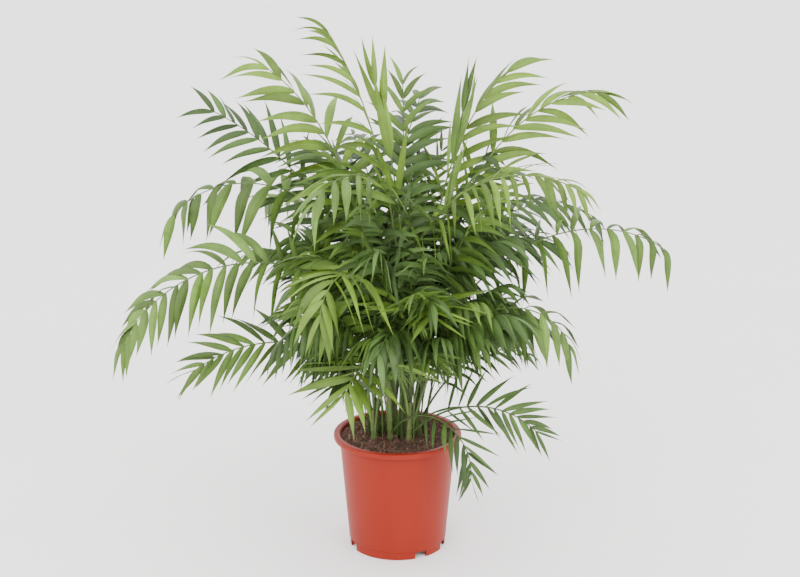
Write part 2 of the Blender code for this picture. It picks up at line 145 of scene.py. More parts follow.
def finishPiece(piece, nodes=()):
    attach(piece, "root")
    if nodes:
        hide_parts(*nodes)
    triangles = sum(len(p.vertices) - 2 for p in piece.data.polygons)
    print("piece", piece.name, triangles, "triangles")


def direction(azimuth, elevation):
    a, e = math.radians(azimuth), math.radians(elevation)
    return Vector((math.cos(e) * math.cos(a), math.cos(e) * math.sin(a), math.sin(e)))


def turnedAbout(vector, axis, angle):
    return (
        vector * math.cos(angle)
        + axis.cross(vector) * math.sin(angle)
        + axis * axis.dot(vector) * (1 - math.cos(angle))
    )


# surface effects shared by several materials
def buildMottle():
    tree, given, result = newTree(
        "mottle",
        "ShaderNodeTree",
        [
            ("Colour", "Color", (0.5, 0.5, 0.5, 1)),
            ("Second Colour", "Color", (0.3, 0.3, 0.3, 1)),
            ("Scale", "Float", 40.0),
            ("Share", "Float", 0.5),
            ("Stretch", "Vector", (1, 1, 1)),
        ],
        [("Colour", "Color"), ("Fine", "Float")],
    )
    place = addNode(tree, "ShaderNodeTexCoord").outputs["Object"]
    place = vectorCalc(tree, "MULTIPLY", place, given["Stretch"])
    broad = cloud(tree, place, given["Scale"], 4.0, 0.6)
    fine = cloud(tree, place, calc(tree, "MULTIPLY", given["Scale"], 7.0), 2.0, 0.6)
    patch = ranged(tree, broad, 0.35, 0.65, 0.0, 1.0)
    share = calc(tree, "MULTIPLY", patch, given["Share"])
    link(tree, mixColour(tree, share, given["Colour"], given["Second Colour"]), result["Colour"])
    link(tree, fine, result["Fine"])
    return tree


def buildLeafSurface():
    tree, given, result = newTree(
        "leafSurface",
        "ShaderNodeTree",
        [
            ("Leaf Colour", "Color", (0.1, 0.2, 0.05, 1)),
            ("Vein Colour", "Color", (0.2, 0.3, 0.1, 1)),
            ("Nerves", "Float", 9.0),
        ],
        [("Colour", "Color"), ("Roughness", "Float"), ("Height", "Float")],
    )
    leafMap = addNode(tree, "ShaderNodeUVMap", uv_map="leafMap").outputs[0]
    parts = addNode(tree, "ShaderNodeSeparateXYZ", {"Vector": leafMap}).outputs
    across, along = parts["X"], parts["Y"]
    fromMiddle = calc(tree, "ABSOLUTE", calc(tree, "SUBTRACT", across, 0.5))
    midrib = ranged(tree, fromMiddle, 0.0, 0.045, 1.0, 0.0)
    turn = calc(tree, "MULTIPLY", across, calc(tree, "MULTIPLY", given["Nerves"], 2 * math.pi))
    nerve = calc(tree, "POWER", calc(tree, "ABSOLUTE", calc(tree, "SINE", turn)), 0.6)
    place = addNode(tree, "ShaderNodeTexCoord").outputs["Object"]
    broad = cloud(tree, place, 22.0, 3.0, 0.6)
    streakPlace = vectorCalc(tree, "MULTIPLY", leafMap, (34.0, 2.5, 1.0))
    streakPlace = vectorCalc(tree, "ADD", streakPlace, vectorCalc(tree, "SCALE", place, 9.0))
    streaks = cloud(tree, streakPlace, 1.0, 2.0)
    streakShare = ranged(tree, streaks, 0.4, 0.7, 0.0, 0.30)
    paleShare = calc(tree, "ADD", calc(tree, "MULTIPLY", midrib, 0.55), streakShare)
    colour = mixColour(tree, paleShare, given["Leaf Colour"], given["Vein Colour"])
    light = ranged(tree, broad, 0.3, 0.7, 0.72, 1.26)
    # painted shade: each leaflet darker towards its root, where it meets the rib
    rootShade = ranged(tree, along, 0.0, 0.25, 0.84, 1.0)
    light = calc(tree, "MULTIPLY", light, rootShade)
    light = addNode(tree, "ShaderNodeCombineXYZ", {"X": light, "Y": light, "Z": light}).outputs[0]
    link(tree, mixColour(tree, 1.0, colour, light, "MULTIPLY"), result["Colour"])
    link(tree, ranged(tree, broad, 0.3, 0.7, 0.34, 0.50), result["Roughness"])
    height = calc(tree, "ADD", calc(tree, "MULTIPLY", nerve, 0.6), midrib)
    link(tree, height, result["Height"])
    return tree


mottle = buildMottle()
leafSurface = buildLeafSurface()


def newMaterial(name, group, groupValues, bump, **shaderValues):
    material = bpy.data.materials.new(name)
    material.use_nodes = True
    tree = material.node_tree
    shader = tree.nodes["Principled BSDF"]
    effect = addNode(tree, "ShaderNodeGroup", node_tree=group)
    for label, value in groupValues.items():
        effect.inputs[label].default_value = value
    link(tree, effect.outputs["Colour"], shader.inputs["Base Color"])
    if "Roughness" in effect.outputs:
        link(tree, effect.outputs["Roughness"], shader.inputs["Roughness"])
    height = effect.outputs["Height" if "Height" in effect.outputs else "Fine"]
    relief = addNode(tree, "ShaderNodeBump", {"Height": height, "Strength": bump[0], "Distance": bump[1]})
    link(tree, relief.outputs[0], shader.inputs["Normal"])
    for label, value in shaderValues.items():
        shader.inputs[label.replace("_", " ")].default_value = value
    return material


def scaled(colour, factor):
    return tuple(c * factor for c in colour) + (1,)


leafColours = {  # base colour and vein colour of each age, and the shades that are dealt out; the deep tone is partly the older fronds' darker green and partly painted shade for fronds at the back, low down and inside the crown
    "fresh": {"leaf": (0.092, 0.165, 0.016), "vein": (0.18, 0.27, 0.045), "shades": (1.32, 1.0, 0.68)},
    "mid": {"leaf": (0.070, 0.132, 0.018), "vein": (0.14, 0.22, 0.045), "shades": (1.35, 1.0, 0.66)},
    "deep": {"leaf": (0.038, 0.076, 0.015), "vein": (0.075, 0.125, 0.028), "shades": (1.45, 1.0, 0.68)},
}
shadeNames = ["Light", "Middle", "Dark"]
plantGloss = 0.25  # the specular level of leaves, stems and canes
leafMaterials = {}
for age, look in leafColours.items():
    leafMaterials[age] = []
    for shadeName, factor in zip(shadeNames, look["shades"]):
        values = {"Leaf Colour": scaled(look["leaf"], factor), "Vein Colour": scaled(look["vein"], factor)}
        label = age + "Leaf" + shadeName
        material = newMaterial(label, leafSurface, values, (0.5, 0.0006), Specular_IOR_Level=plantGloss)
        leafMaterials[age].append(material)

# stem colours: each tone's own green darkened with painted shade
stemColoursWithShade = {"fresh": (0.10, 0.155, 0.03), "mid": (0.066, 0.11, 0.024), "deep": (0.044, 0.075, 0.018)}
stemMaterialsWithShade = {}
for age, colour in stemColoursWithShade.items():
    values = {"Colour": scaled(colour, 1.0), "Second Colour": scaled(colour, 0.65), "Scale": 30.0}
    gloss = {"Roughness": 0.45, "Specular_IOR_Level": plantGloss}
    stemMaterialsWithShade[age] = newMaterial(age + "StemWithShade", mottle, values, (0.2, 0.0003), **gloss)
print("leaf and stem materials made")


# canes: slender green stems with leaf scars
cane = {
    "count": 9,
    "ringStep": 0.018,
    "firstAngle": -167.5,
    "goldenAngle": 137.5,
    "heights": [0.22, 0.20, 0.185, 0.16, 0.14, 0.115, 0.08, 0.10, 0.06],
    "lean": 5,
    "footRadius": 0.0068,
    "radius": 0.0050,
    "topRadius": 0.0042,
    "flareHeight": 0.014,
    "soilTop": 0.2143,  # where canes and young fronds start
    "scarSpacing": 0.017,
    "scarHeight": 0.0008,
    "scarWidth": 0.045,  # as a share of the way from one scar to the next
    "swell": 0.0003,
    "step": 0.0008,
    "sides": 18,
}
Cane = namedtuple("Cane", "foot lean height")


def caneLayout():
    found = []
    for i in range(cane["count"]):
        angle = cane["firstAngle"] + cane["goldenAngle"] * i
        foot = direction(angle, 0) * cane["ringStep"] * math.sqrt(i) + up * cane["soilTop"]
        found.append(Cane(foot, direction(angle, 90 - cane["lean"]), cane["heights"][i]))
    return found


def caneRadius(height, top):
    if height < cane["flareHeight"]:
        share = height / cane["flareHeight"]
        return cane["footRadius"] + (cane["radius"] - cane["footRadius"]) * share
    share = (height - cane["flareHeight"]) / (top - cane["flareHeight"])
    return cane["radius"] + (cane["topRadius"] - cane["radius"]) * share


def caneAxis(one, height):
    return one.foot + one.lean * (height / one.lean.z)


def caneTree(one):
    # the plain cane that ribs are seated against, as in the frame
    heights = [0, cane["flareHeight"], 0.5 * one.height, one.height]
    sides = 7
    points, faces = [], []
    for height in heights:
        radius = caneRadius(height, one.height)
        for i in range(sides):
            angle = 2 * math.pi * i / sides
            points.append(caneAxis(one, height) + Vector((math.cos(angle), math.sin(angle), 0)) * radius)
    for ring in range(len(heights) - 1):
        for i in range(sides):
            a, b, j = ring * sides, (ring + 1) * sides, (i + 1) % sides
            faces.append((a + i, a + j, b + j, b + i))
    return BVHTree.FromPolygons(points, faces)


# fronds: each is a rib that arches in an upright plane, with pairs of leaflets. The ribs are the frame's,
# the leaflets finer. Angles are in degrees; bare is the share of the rib without leaflets, width a leaflet's
# breadth over its length.
Frond = namedtuple(
    "Frond", "name cane height azimuth rise arch ease length bare pairs leaf width spread hang lift roll tone"
)
# the last column is the tone; the deep tone on fronds at the back and low down is partly painted shade
frondTable = [
    Frond("left_sweep", 1, 0.06, -168, 86, 151, 1.15, 0.74, 0.36, 19, 0.124, 0.135, 76, 0.64, 4, 46, "mid"),
    Frond("left_middle", 2, 0.12, 178, 86, 139, 1.65, 0.65, 0.38, 12, 0.132, 0.15, 84, 0.82, 4, 40, "mid"),
    Frond("left_high_back", 0, 0.16, 150, 78, 61, 1.0, 0.60, 0.38, 13, 0.125, 0.11, 58, 0.34, 2, 56, "deep"),
    Frond("left_high", 0, 0.20, 175, 79, 45, 2.6, 0.55, 0.3, 12, 0.14, 0.12, 54, 0.56, -4, 46, "fresh"),
    Frond("top_left", 1, 0.16, 170, 84, 27, 2.4, 0.62, 0.5, 10, 0.118, 0.085, 36, 0.56, -36, 20, "fresh"),
    Frond("top_spear", 1, 0.12, 165, 88, 14, 2.0, 0.55, 0.62, 4, 0.16, 0.105, 12, 0.02, 10, 80, "fresh"),
    Frond("top_back", 7, 0.06, 92, 88, 30, 2.5, 0.60, 0.5, 10, 0.105, 0.12, 50, 0.4, 6, 0, "mid"),
    Frond("top_right_spear", 6, 0.06, 30, 80, 1, 1.0, 0.57, 0.66, 3, 0.17, 0.085, 9, 0.02, 5, -80, "mid"),
    Frond("top_right", 4, 0.12, 20, 87, 49, 2.6, 0.60, 0.42, 11, 0.138, 0.105, 34, 0.46, -16, -38, "fresh"),
    Frond("right_high", 4, 0.09, 10, 82, 85, 2.6, 0.70, 0.42, 14, 0.13, 0.11, 40, 0.5, -6, -44, "fresh"),
    Frond("right_front_arch", 0, 0.12, -35, 90, 111, 1.5, 0.66, 0.34, 19, 0.11, 0.12, 66, 0.66, 4, -32, "fresh"),
    Frond("right_arch", 7, 0.06, 0, 67, 105, 1.8, 0.65, 0.38, 13, 0.124, 0.13, 86, 0.92, 2, -42, "mid"),
    Frond("right_middle", 6, 0.04, -10, 75, 151, 2.1, 0.45, 0.34, 11, 0.12, 0.135, 84, 0.74, 4, -32, "mid"),
    Frond("right_low_back", 4, 0.02, 15, 61, 90, 1.75, 0.27, 0.33, 11, 0.072, 0.11, 62, 0.45, 4, -30, "deep"),
    Frond("right_low", 6, 0.02, -5, 49, 96, 1.05, 0.26, 0.31, 12, 0.092, 0.105, 60, 0.12, 0, -58, "deep"),
    Frond("over_rim", 3, 0.02, -38, 55, 154, 1.15, 0.26, 0.36, 10, 0.09, 0.105, 54, 0.12, 2, -25, "deep"),
    Frond("left_low", 2, 0.06, -172, 60, 97, 1.0, 0.42, 0.32, 14, 0.112, 0.12, 60, 0.3, 0, 50, "mid"),
    Frond("right_back", 0, 0.18, 20, 88, 123, 1.0, 0.56, 0.42, 14, 0.112, 0.1, 50, 0.62, -4, -30, "deep"),
    Frond("front_fan", 1, 0.06, -76, 88, 120, 2.5, 0.33, 0.6, 9, 0.13, 0.12, 88, 0.12, 4, 0, "fresh"),
    Frond("front_left_low", 6, 0.06, -125, 80, 137, 1.5, 0.28, 0.5, 9, 0.145, 0.125, 88, 0.14, 4, 0, "fresh"),
    Frond("front_left_arch", 3, 0.12, -118, 79, 160, 2.5, 0.42, 0.42, 10, 0.13, 0.13, 76, 0.55, 4, 14, "fresh"),
    Frond("centre_left", 4, 0.12, -130, 90, 137, 2.4, 0.60, 0.45, 11, 0.13, 0.12, 66, 0.55, 4, 14, "mid"),
]
crown = {
    "gap": 0.0003,
    "stemRadius": 0.0024,
    "stemTipRadius": 0.0009,
    "spineSteps": 96,
    "seatStep": 0.0001,
    "lastPair": 0.985,
    "bladeTilt": 24,
    "fillSeed": 11,
    "leafSeed": 12,  # only turns the filling fronds' leaflets
    "fillCount": 27,
    "fillPairs": 14,  # the frame has 9 pairs on a filling frond
    "fillFirstAzimuth": 60,
    "fillLevelStep": 0.57,
    "fillDeepAndShadedShare": 0.6,
    "lowestFoot": 0.012,
    "innerSeed": 29,  # more fronds within the same reach, only in the dressed plant
    "innerCount": 50,
    "innerPairs": 12,
    "innerStemWithShade": 0.55,
}


def fillFronds(canes):
    chance, leafChance = random.Random(crown["fillSeed"]), random.Random(crown["leafSeed"])
    found = []
    for i in range(crown["fillCount"]):
        azimuth = crown["fillFirstAzimuth"] + cane["goldenAngle"] * i + chance.uniform(-8, 8)
        level = (crown["fillLevelStep"] * i) % 1
        height = canes[i % cane["count"]].height * (0.30 + 0.62 * level)
        arch = 132 - 80 * level + chance.uniform(-8, 8)
        towardsBack = max(0, math.sin(math.radians(azimuth)))
        length = 0.38 + 0.23 * towardsBack**0.5 - 0.06 * level + chance.uniform(-0.02, 0.02)
        leaf = chance.uniform(0.11, 0.13)
        width = chance.uniform(0.095, 0.135)
        hang = chance.uniform(0.4, 0.9)
        lift, roll = leafChance.uniform(-12, 12), leafChance.uniform(-35, 35)
        # the deep tone here is partly painted shade inside the crown
        tone = "deep" if chance.random() < crown["fillDeepAndShadedShare"] else "mid"
        rib = (height, azimuth, 78 + 10 * level, arch, 1.4, length)
        leaflets = (0.38, crown["fillPairs"], leaf, width, 60, hang, lift, roll)
        found.append(Frond(f"fill_{i + 1:02d}", i % cane["count"], *rib, *leaflets, tone))
    return found


def innerFronds():
    # young fronds that come straight from the soil between the canes
    chance = random.Random(crown["innerSeed"])
    found = []
    for i in range(crown["innerCount"]):
        azimuth = 20 + cane["goldenAngle"] * i + chance.uniform(-15, 15)
        foot = direction(azimuth + chance.uniform(-50, 50), 0) * chance.uniform(0.010, 0.056)
        foot += up * cane["soilTop"]
        level = chance.random()
        arch = 100 - 70 * level + chance.uniform(-10, 10)
        length = 0.20 + 0.34 * level + 0.06 * chance.random()
        leaf, width = chance.uniform(0.07, 0.12), chance.uniform(0.085, 0.125)
        hang = chance.uniform(0.3, 0.9)
        lift, roll = chance.uniform(-25, 10), chance.uniform(-40, 40)
        # the deep tone here is partly painted shade inside the crown
        tone = "deep" if chance.random() < crown["fillDeepAndShadedShare"] else "mid"
        rib = (0, azimuth, 80 + 8 * level, arch, 2.2, length)
        leaflets = (0.50, crown["innerPairs"], leaf, width, 60, hang, lift, roll)
        found.append((Frond(f"inner_{i + 1:02d}", None, *rib, *leaflets, tone), azimuth, foot))
    return found


def spineOf(frond, azimuth, stations):
    steps = crown["spineSteps"]
    line = [Vector()]
    for i in range(steps):
        elevation = frond.rise - frond.arch * ((i + 0.5) / steps) ** frond.ease
        line.append(line[-1] + direction(azimuth, elevation) * (frond.length / steps))
    side = direction(azimuth - 90, 0)
    points, tangents, normals = [], [], []
    for share in stations:
        place = min(share * steps, steps - 1e-6)
        i = int(place)
        points.append(line[i].lerp(line[i + 1], place - i))
        tangents.append(direction(azimuth, frond.rise - frond.arch * share**frond.ease))
        normals.append(side.cross(tangents[-1]))
    return points, tangents, side, normals


def stemRadius(share):
    return crown["stemRadius"] + (crown["stemTipRadius"] - crown["stemRadius"]) * share


def testTube(frond, azimuth):
    # a thin three-sided tube along the rib, to find a clear way for it
    stations = [i / 20 for i in range(21)]
    points, tangents, side, normals = spineOf(frond, azimuth, stations)
    corners, faces = [], []
    for point, normal, share in zip(points, normals, stations):
        radius = stemRadius(share) + crown["gap"]
        upper = point + normal * radius * 0.55
        corners += [upper - side * radius, upper + side * radius, point - normal * radius]
    for k in range(len(stations) - 1):
        for i in range(3):
            j = (i + 1) % 3
            faces.append((3 * k + i, 3 * k + j, 3 * k + 3 + j, 3 * k + 3 + i))
    return corners, faces


def placeFronds(fronds, canes):
    # each rib is seated on its cane and shifted a little until it is clear of the ribs before it
    caneTrees = [caneTree(one) for one in canes]
    taken, placed = list(caneTrees), []
    turns = [(lift, turn, roundCane) for lift in (0, 0.012, -0.012, 0.024, -0.024, 0.036, -0.036)
             for turn in (0, 3, -3, 6, -6, 9, -9, 12, -12)
             for roundCane in (0, 20, -20, 40, -40, 60, -60, 80, -80, 100, -100)]
    for frond in fronds:
        one = canes[frond.cane]
        for lift, turn, roundCane in turns:
            height = min(max(frond.height + lift, crown["lowestFoot"]), one.height - cane["topRadius"])
            corners, faces = testTube(frond, frond.azimuth + turn)
            way = direction(frond.azimuth + turn + roundCane, 0)
            distance = 0.8 * caneRadius(height, one.height)
            while True:
                move = caneAxis(one, height) + way * distance
                tube = BVHTree.FromPolygons([corner + move for corner in corners], faces)
                if not tube.overlap(caneTrees[frond.cane]):
                    break
                distance += crown["seatStep"] * 2
            if not any(tube.overlap(other) for other in taken):
                break
        taken.append(tube)
        placed.append((frond, frond.azimuth + turn, move))
    return placed


def leafletRow(frond, spine, share, hand, along, chance):
    points, tangents, side, _ = spine
    at = share * (len(points) - 1)
    i = min(int(at), len(points) - 2)
    point = points[i].lerp(points[i + 1], at - i)
    tangent = tangents[i].lerp(tangents[i + 1], at - i).normalized()
    normal = side.cross(tangent)
    root = point + side * hand * stemRadius(share) * 0.4
    flatSide = turnedAbout(side, tangent, -math.radians(frond.roll))
    normal = turnedAbout(normal, tangent, -math.radians(frond.roll))
    spread = math.radians(frond.spread * (1 - 0.62 * along**1.3) + chance.uniform(-9, 9))
    lift = math.radians(frond.lift + chance.uniform(-13, 13))
    out = flatSide * hand * math.cos(lift) + normal * math.sin(lift)
    start = (tangent * math.cos(spread) + out * math.sin(spread)).normalized()
    elevation = math.asin(max(-0.999, min(0.999, start.z)))
    heading = Vector((start.x, start.y, 0)).normalized()
    hang = frond.hang * chance.uniform(0.8, 1.2) * (1 - 0.5 * max(0, start.z))
    across = (tangent - start * tangent.dot(start)).normalized()
    tilt = math.radians(crown["bladeTilt"] + chance.uniform(-26, 26)) * hand
    across = across * math.cos(tilt) + start.cross(across) * math.sin(tilt)
    size = 0.80 + 0.20 * math.sin(math.pi * min(1, 0.15 + along)) - 0.14 * along**3
    breadth = 0.55 + 0.45 * math.sin(math.pi * (0.15 + 0.7 * along))
    return {
        "root": root,
        "heading": heading,
        "across": across,
        "elevation": elevation,
        "fall": max(0.02, hang * (elevation + math.pi / 2)),
        "flex": 1.0 - 0.7 * min(1, hang),
        "length": frond.leaf * size * chance.uniform(0.88, 1.08),
        "breadth": frond.leaf * frond.width * breadth * chance.uniform(0.9, 1.1),
        "sickle": chance.uniform(-0.03, 0.13),
        "twist": chance.uniform(-1.1, 1.1),
        "upSide": 1.0 if across.cross(start).z > 0 else -1.0,
        "shade": float(chance.choice([0, 1, 1, 2])),
    }


leaflet = {
    "pointsAlong": 12,
    "pointsAcross": 5,
    "baseFullness": 0.75,
    "tipSharpness": 1.45,
    "roofFold": 0.24,
}
workAttributes = {
    "root", "heading", "across", "elevation", "fall", "flex", "length", "breadth", "sickle", "twist", "upSide",
    "shade", "local", "thickness",
}


def buildLeafletTree():
    # a flat grid on each point, bent down from its root by the leaflet rule
    labels = ["Points Along", "Points Across"]
    inputs = [("Geometry", "Geometry", None)] + [(label, "Int", 5) for label in labels]
    inputs += [("Base Fullness", "Float", 0.6), ("Tip Sharpness", "Float", 1.2)]
    inputs += [("Outline Scale", "Float", 1.0), ("Roof Fold", "Float", 0.2)]
    inputs += [(label + " Shade", "Material", None) for label in shadeNames]
    tree, given, result = newTree("leafletBlades", "GeometryNodeTree", inputs, [("Geometry", "Geometry")])

    def field(name, kind="FLOAT"):
        node = addNode(tree, "GeometryNodeInputNamedAttribute", {"Name": name}, data_type=kind)
        return node.outputs["Attribute"]

    def number(operation, *values):
        return calc(tree, operation, *values)

    gridSizes = {"Size X": 2.0, "Size Y": 1.0}
    gridSizes |= {"Vertices X": given["Points Across"], "Vertices Y": given["Points Along"]}
    grid = addNode(tree, "GeometryNodeMeshGrid", gridSizes).outputs
    values = {"Geometry": grid["Mesh"], "Name": "leafMap", "Value": grid["UV Map"]}
    store = "GeometryNodeStoreNamedAttribute"
    mapped = addNode(tree, store, data_type="FLOAT2", domain="CORNER")
    for name, value in values.items():
        link(tree, value, mapped.inputs[name])
    position = tree.nodes.new("GeometryNodeInputPosition").outputs[0]
    kept = addNode(tree, store, {"Geometry": mapped.outputs[0], "Name": "local"}, data_type="FLOAT_VECTOR")
    link(tree, position, kept.inputs["Value"])
    points = {"Points": given["Geometry"], "Instance": kept.outputs[0]}
    spread = addNode(tree, "GeometryNodeInstanceOnPoints", points).outputs[0]
    real = addNode(tree, "GeometryNodeRealizeInstances", {"Geometry": spread}).outputs[0]

    local = addNode(tree, "ShaderNodeSeparateXYZ", {"Vector": field("local", "FLOAT_VECTOR")}).outputs
    side, share = local["X"], number("ADD", local["Y"], 0.5)
    first, fall, flex = field("elevation"), field("fall"), field("flex")
    heading, length = field("heading", "FLOAT_VECTOR"), field("length")
    bent = number("MINIMUM", share, flex)
    rate = number("DIVIDE", fall, flex)
    angle = number("SUBTRACT", first, number("MULTIPLY", rate, bent))
    rest = number("SUBTRACT", share, bent)
    sine, cosine = number("SINE", angle), number("COSINE", angle)
    outward = number("DIVIDE", number("SUBTRACT", number("SINE", first), sine), rate)
    outward = number("ADD", outward, number("MULTIPLY", rest, cosine))
    upward = number("DIVIDE", number("SUBTRACT", cosine, number("COSINE", first)), rate)
    upward = number("ADD", upward, number("MULTIPLY", rest, sine))
    upVector = addNode(tree, "ShaderNodeCombineXYZ", {"Z": 1.0}).outputs[0]

    def blend(vectorShare, upShare):
        flat = vectorCalc(tree, "SCALE", heading, vectorShare)
        return vectorCalc(tree, "ADD", flat, vectorCalc(tree, "SCALE", upVector, upShare))

    middle = vectorCalc(tree, "SCALE", blend(outward, upward), length)
    middle = vectorCalc(tree, "ADD", field("root", "FLOAT_VECTOR"), middle)
    forward = blend(cosine, sine)
    pitch = vectorCalc(tree, "CROSS_PRODUCT", heading, upVector)
    bend = number("SUBTRACT", angle, first)
    turn = {"Vector": field("across", "FLOAT_VECTOR"), "Axis": pitch, "Angle": bend}
    across = addNode(tree, "ShaderNodeVectorRotate", turn).outputs[0]
    turn = {"Vector": across, "Axis": forward, "Angle": number("MULTIPLY", field("twist"), share)}
    across = addNode(tree, "ShaderNodeVectorRotate", turn).outputs[0]
    normal = vectorCalc(tree, "CROSS_PRODUCT", across, forward)
    normal = vectorCalc(tree, "SCALE", normal, field("upSide"))

    start = number("MULTIPLY_ADD", share, 0.97, 0.03)
    half = number("MULTIPLY", number("POWER", start, given["Base Fullness"]), given["Outline Scale"])
    tip = number("POWER", number("MAXIMUM", number("SUBTRACT", 1.0, share), 0.0), given["Tip Sharpness"])
    half = number("MULTIPLY", number("MULTIPLY", half, tip), number("MULTIPLY", field("breadth"), 0.5))
    offset = number("MULTIPLY", side, half)
    bow = number("MULTIPLY", number("MULTIPLY", field("sickle"), length), number("POWER", share, 2.0))
    place = vectorCalc(tree, "ADD", middle, vectorCalc(tree, "SCALE", across, number("ADD", offset, bow)))
    drop = number("MULTIPLY", number("MULTIPLY", number("ABSOLUTE", side), half), given["Roof Fold"])
    place = vectorCalc(tree, "SUBTRACT", place, vectorCalc(tree, "SCALE", normal, drop))
    shaped = addNode(tree, "GeometryNodeSetPosition", {"Geometry": real, "Position": place}).outputs[0]
    isUnder = number("LESS_THAN", field("upSide"), 0.0)
    shaped = addNode(tree, "GeometryNodeFlipFaces", {"Mesh": shaped, "Selection": isUnder}).outputs[0]
    for index, label in enumerate(shadeNames):
        chosen = number("COMPARE", field("shade"), float(index), 0.1)
        values = {"Geometry": shaped, "Selection": chosen, "Material": given[label + " Shade"]}
        shaped = addNode(tree, "GeometryNodeSetMaterial", values).outputs[0]
    smooth = addNode(tree, "GeometryNodeSetShadeSmooth", {"Geometry": shaped}).outputs[0]
    link(tree, smooth, result["Geometry"])
    return tree


def buildStemTree():
    # a tube swept along each chain of points, as thick as the chain says
    inputs = [("Geometry", "Geometry", None), ("Sides", "Int", 6), ("Finish", "Material", None)]
    tree, given, result = newTree("stemSweep", "GeometryNodeTree", inputs, [("Geometry", "Geometry")])
    thickness = addNode(tree, "GeometryNodeInputNamedAttribute", {"Name": "thickness"}).outputs["Attribute"]
    path = addNode(tree, "GeometryNodeMeshToCurve", {"Mesh": given["Geometry"]}).outputs[0]
    values = {"Resolution": given["Sides"], "Radius": 1.0}
    profile = addNode(tree, "GeometryNodeCurvePrimitiveCircle", values)
    values = {"Curve": path, "Profile Curve": profile.outputs[0], "Scale": thickness, "Fill Caps": True}
    swept = addNode(tree, "GeometryNodeCurveToMesh", values).outputs[0]
    values = {"Geometry": swept, "Material": given["Finish"]}
    painted = addNode(tree, "GeometryNodeSetMaterial", values).outputs[0]
    smooth = addNode(tree, "GeometryNodeSetShadeSmooth", {"Geometry": painted}).outputs[0]
    link(tree, smooth, result["Geometry"])
    return tree


def chainsOf(paths):
    rows, edges = [], []
    for path in paths:
        first = len(rows)
        rows += [{"root": point, "thickness": thickness} for point, thickness in path]
        edges += [(i, i + 1) for i in range(first, len(rows) - 1)]
    return rows, edges


leafletTree = buildLeafletTree()
stemTree = buildStemTree()
canes = caneLayout()
fronds = placeFronds(frondTable + fillFronds(canes), canes) + innerFronds()
pathSteps = 40
leafRows = {age: [] for age in leafColours}
stemPaths = {age: [] for age in leafColours}
nodesOf = {age: [] for age in leafColours}
for number, (frond, azimuth, move) in enumerate(fronds):
    chance = random.Random(number)
    stations = [i / pathSteps for i in range(pathSteps + 1)]
    points, tangents, side, normals = spineOf(frond, azimuth, stations)
    points = [point + move for point in points]
    slim = crown["innerStemWithShade"] if frond.name.startswith("inner") else 1
    path = [(point, stemRadius(share) * slim) for point, share in zip(points, stations)]
    stemPaths[frond.tone].append(path)
    spine = (points, tangents, side, normals)
    last = frond.pairs - 1
    for i in range(frond.pairs):
        along = i / last
        for hand in (1, -1):
            jitter = chance.uniform(-0.16, 0.16) / last if 0 < i < last else 0
            share = frond.bare + (crown["lastPair"] - frond.bare) * (along + jitter)**0.88
            leafRows[frond.tone].append(leafletRow(frond, spine, share, hand, along, chance))
    if "frond_" + frond.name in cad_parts:
        nodesOf[frond.tone].append("frond_" + frond.name)
print("fronds placed:", len(fronds), "leaflets:", sum(len(rows) for rows in leafRows.values()))

full, sharp = leaflet["baseFullness"], leaflet["tipSharpness"]
peak = (full / (full + sharp)) ** full * (sharp / (full + sharp)) ** sharp
for age in leafColours:
    values = {
        "Points Along": leaflet["pointsAlong"],
        "Points Across": leaflet["pointsAcross"],
        "Base Fullness": full,
        "Tip Sharpness": sharp,
        "Outline Scale": 1 / peak,
        "Roof Fold": leaflet["roofFold"],
    }
    for label, material in zip(shadeNames, leafMaterials[age]):
        values[label + " Shade"] = material
    leaves = runTree(age + "Leaflets", pointMesh(age + "Points", leafRows[age]), leafletTree, values)
    finishPiece(leaves, nodesOf[age])
    rows, edges = chainsOf(stemPaths[age])
    values = {"Sides": 7, "Finish": stemMaterialsWithShade[age]}
    stems = runTree(age + "Stems", pointMesh(age + "Paths", rows, edges), stemTree, values)
    finishPiece(stems, nodesOf[age])

# canes with leaf scars; their own green is darkened with painted shade
values = {
    "Colour": (0.075, 0.12, 0.03, 1),
    "Second Colour": (0.12, 0.085, 0.035, 1),
    "Scale": 45.0,
    "Share": 0.55,
}
gloss = {"Roughness": 0.5, "Specular_IOR_Level": plantGloss}
caneSkinAndShadeMaterial = newMaterial("caneSkin", mottle, values, (0.4, 0.0005), **gloss)
paths = []
for number, one in enumerate(canes):
    chance = random.Random(100 + number)
    top = one.height + cane["topRadius"]
    steps = int(top / cane["step"])
    shift = chance.random()
    path = []
    for i in range(steps + 1):
        height = top * i / steps
        phase = (height / cane["scarSpacing"] + shift) % 1
        scar = math.exp(-((phase - 0.5) / cane["scarWidth"]) ** 2) * cane["scarHeight"]
        swell = cane["swell"] * math.sin(math.pi * phase)
        radius = caneRadius(min(height, one.height), one.height) + scar + swell
        end = max(0.0, (height - one.height) / cane["topRadius"])
        path.append((caneAxis(one, height), radius * math.sqrt(max(0.02, 1 - end * end))))
    paths.append(path)
rows, edges = chainsOf(paths)
values = {"Sides": cane["sides"], "Finish": caneSkinAndShadeMaterial}
caneBark = runTree("caneBark", pointMesh("canePaths", rows, edges), stemTree, values)
finishPiece(caneBark, [f"cane_{i + 1}" for i in range(cane["count"])])

# pot: turned from a rounded profile, with notches in its foot
pot = {
    "height": 0.222,
    "rimRadius": 0.120,
    "rimSkirt": 0.010,
    "bodyTopRadius": 0.1085,
    "footRadius": 0.0915,
    "footHeight": 0.0135,
    "wall": 0.0022,
    "discRadius": 0.060,
    "notchAngles": [-61, -19, 23, 119, 161, 203],
    "notchWidth": 0.024,
    "notchStop": 0.0012,  # a notch ends this far below the top of the foot
    "sides": 144,
}


